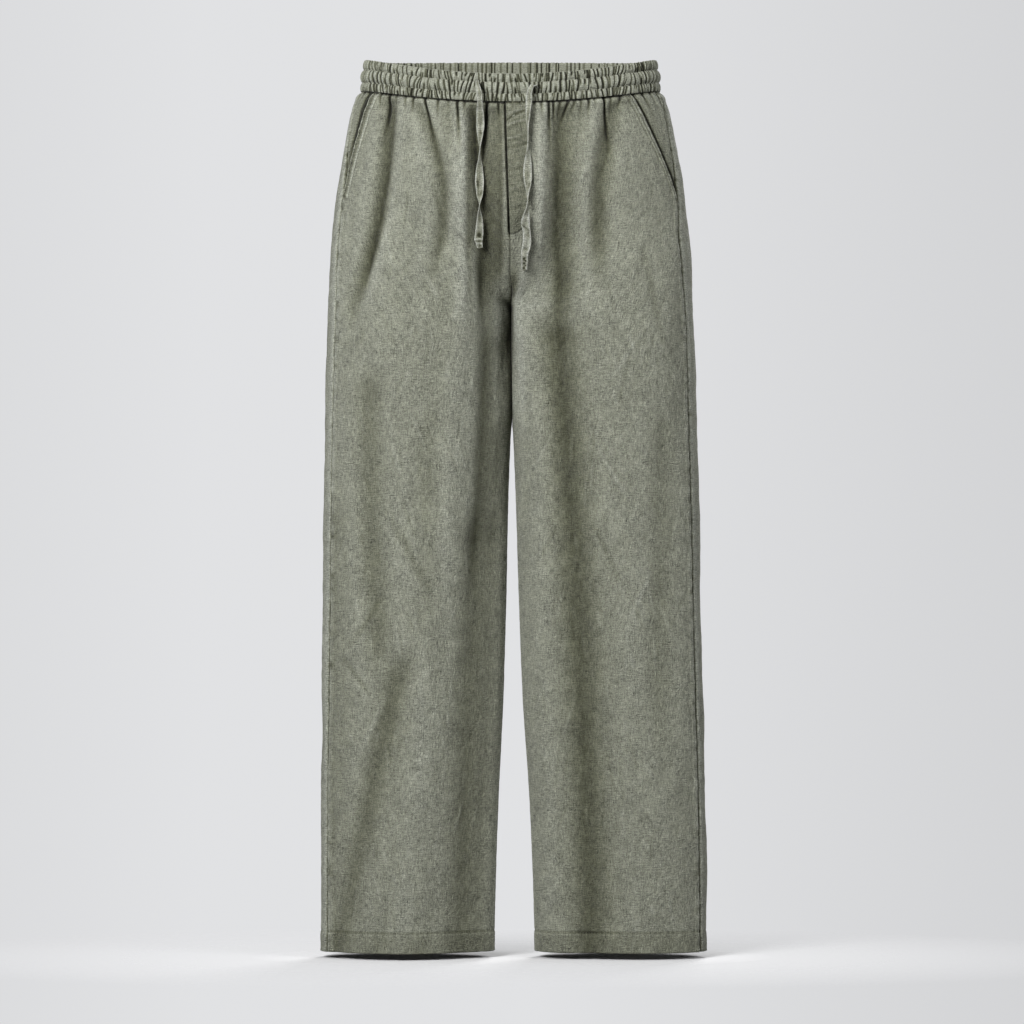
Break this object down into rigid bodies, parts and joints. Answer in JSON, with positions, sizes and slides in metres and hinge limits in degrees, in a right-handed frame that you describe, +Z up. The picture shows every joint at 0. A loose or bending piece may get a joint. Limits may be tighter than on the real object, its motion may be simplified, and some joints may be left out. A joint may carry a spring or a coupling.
{
  "type": "linen drawstring trousers",
  "caption": "Straight-leg linen trousers with a shirred elastic waistband, free drawstring ends, slanted pockets and a mock fly, filled out hollow as worn.",
  "frame": {"origin": "the middle of the waist, level with the middle of the waistband at the sides, where the wearer's waist holds the garment", "axes": "+Z up along the legs towards the waist, the front faces -Y, the wearer's left is at +X"},
  "size_m": [0.4537, 0.2306, 1.0535],
  "materials": {
    "linen": "washed plain-weave linen, dull, lightly crinkled, grey-green",
    "tape": "flat folded linen tape, dull, grey-green, a little lighter"
  },
  "bodies": {
    "root": {"waistband": "linen", "front_right": "linen", "front_left": "linen", "back_right": "linen", "back_left": "linen", "pocket_facing_right": "linen", "pocket_facing_left": "linen", "fly_flap": "linen", "drawstring_right": "tape", "drawstring_left": "tape"}
  },
  "joints": []
}
